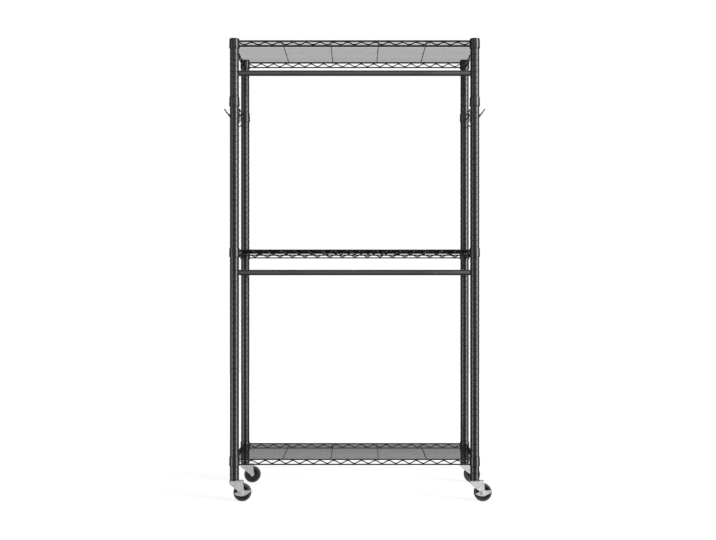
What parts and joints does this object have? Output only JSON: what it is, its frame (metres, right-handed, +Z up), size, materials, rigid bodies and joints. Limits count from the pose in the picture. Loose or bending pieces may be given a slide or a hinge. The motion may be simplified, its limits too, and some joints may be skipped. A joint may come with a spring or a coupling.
{
  "type": "open frame wardrobe",
  "caption": "Rolling open wardrobe rack with round posts, wire shelves, hanging rods, outward hook rails and swivel casters, the front ones with brake rockers.",
  "frame": {"origin": "on the floor, under the middle of the four posts", "axes": "+X to the right seen from the front, +Y to the back, +Z up"},
  "size_m": [1.1785, 0.46, 2.0234],
  "materials": {
    "black_powder_coat": "satin black powder coat",
    "black_plastic": "black moulded plastic",
    "zinc_plated_steel": "bright zinc plating",
    "hub_plastic": "dark grey moulded plastic",
    "tyre_rubber": "dark smooth tread"
  },
  "bodies": {
    "rack": {"lower_post_front_left": "black_powder_coat", "upper_post_front_left": "black_powder_coat", "lower_post_front_right": "black_powder_coat", "upper_post_front_right": "black_powder_coat", "lower_post_rear_left": "black_powder_coat", "upper_post_rear_left": "black_powder_coat", "lower_post_rear_right": "black_powder_coat", "upper_post_rear_right": "black_powder_coat", "top_shelf_collars": "black_powder_coat", "top_shelf_front_truss": "black_powder_coat", "top_shelf_rear_truss": "black_powder_coat", "top_shelf_left_truss": "black_powder_coat", "top_shelf_right_truss": "black_powder_coat", "top_shelf_mat": "black_powder_coat", "middle_shelf_collars": "black_powder_coat", "middle_shelf_front_truss": "black_powder_coat", "middle_shelf_rear_truss": "black_powder_coat", "middle_shelf_left_truss": "black_powder_coat", "middle_shelf_right_truss": "black_powder_coat", "middle_shelf_mat": "black_powder_coat", "bottom_shelf_collars": "black_powder_coat", "bottom_shelf_front_truss": "black_powder_coat", "bottom_shelf_rear_truss": "black_powder_coat", "bottom_shelf_left_truss": "black_powder_coat", "bottom_shelf_right_truss": "black_powder_coat", "bottom_shelf_mat": "black_powder_coat", "upper_rod": "black_powder_coat", "lower_rod": "black_powder_coat", "upper_rod_brackets": "black_powder_coat", "lower_rod_brackets": "black_powder_coat", "rail_collars": "black_powder_coat", "left_hook_rail": "black_powder_coat", "right_hook_rail": "black_powder_coat", "left_hooks": "black_powder_coat", "right_hooks": "black_powder_coat", "post_caps": "black_plastic", "split_sleeves": "black_plastic", "foot_inserts": "black_plastic", "rod_end_plugs": "black_plastic", "post_connectors": "zinc_plated_steel", "caster_stems": "zinc_plated_steel"},
    "swivel_front_left": {"fork_front_left": "zinc_plated_steel", "axle_front_left": "zinc_plated_steel"},
    "wheel_front_left": {"hub_front_left": "hub_plastic", "tyre_front_left": "tyre_rubber"},
    "rocker_front_left": {"brake_front_left": "zinc_plated_steel"},
    "swivel_front_right": {"fork_front_right": "zinc_plated_steel", "axle_front_right": "zinc_plated_steel"},
    "wheel_front_right": {"hub_front_right": "hub_plastic", "tyre_front_right": "tyre_rubber"},
    "rocker_front_right": {"brake_front_right": "zinc_plated_steel"},
    "swivel_rear_left": {"fork_rear_left": "zinc_plated_steel", "axle_rear_left": "zinc_plated_steel"},
    "wheel_rear_left": {"hub_rear_left": "hub_plastic", "tyre_rear_left": "tyre_rubber"},
    "swivel_rear_right": {"fork_rear_right": "zinc_plated_steel", "axle_rear_right": "zinc_plated_steel"},
    "wheel_rear_right": {"hub_rear_right": "hub_plastic", "tyre_rear_right": "tyre_rubber"}
  },
  "joints": [
    {"name": "swivel_turn_front_left", "type": "hinge", "parent": "rack", "child": "swivel_front_left", "pos_m": [-0.526, -0.205, 0.0887], "axis": [0, 0, 1], "continuous": true},
    {"name": "wheel_spin_front_left", "type": "hinge", "parent": "swivel_front_left", "child": "wheel_front_left", "pos_m": [-0.491, -0.205, 0.039], "axis": [0, 1, 0], "continuous": true},
    {"name": "brake_press_front_left", "type": "hinge", "parent": "swivel_front_left", "child": "rocker_front_left", "pos_m": [-0.491, -0.205, 0.039], "axis": [0, 1, 0], "range_deg": [0, 16]},
    {"name": "swivel_turn_front_right", "type": "hinge", "parent": "rack", "child": "swivel_front_right", "pos_m": [0.526, -0.205, 0.0887], "axis": [0, 0, 1], "continuous": true},
    {"name": "wheel_spin_front_right", "type": "hinge", "parent": "swivel_front_right", "child": "wheel_front_right", "pos_m": [0.561, -0.205, 0.039], "axis": [0, 1, 0], "continuous": true},
    {"name": "brake_press_front_right", "type": "hinge", "parent": "swivel_front_right", "child": "rocker_front_right", "pos_m": [0.561, -0.205, 0.039], "axis": [0, 1, 0], "range_deg": [0, 16]},
    {"name": "swivel_turn_rear_left", "type": "hinge", "parent": "rack", "child": "swivel_rear_left", "pos_m": [-0.526, 0.205, 0.0887], "axis": [0, 0, 1], "continuous": true},
    {"name": "wheel_spin_rear_left", "type": "hinge", "parent": "swivel_rear_left", "child": "wheel_rear_left", "pos_m": [-0.491, 0.205, 0.039], "axis": [0, 1, 0], "continuous": true},
    {"name": "swivel_turn_rear_right", "type": "hinge", "parent": "rack", "child": "swivel_rear_right", "pos_m": [0.526, 0.205, 0.0887], "axis": [0, 0, 1], "continuous": true},
    {"name": "wheel_spin_rear_right", "type": "hinge", "parent": "swivel_rear_right", "child": "wheel_rear_right", "pos_m": [0.561, 0.205, 0.039], "axis": [0, 1, 0], "continuous": true}
  ]
}
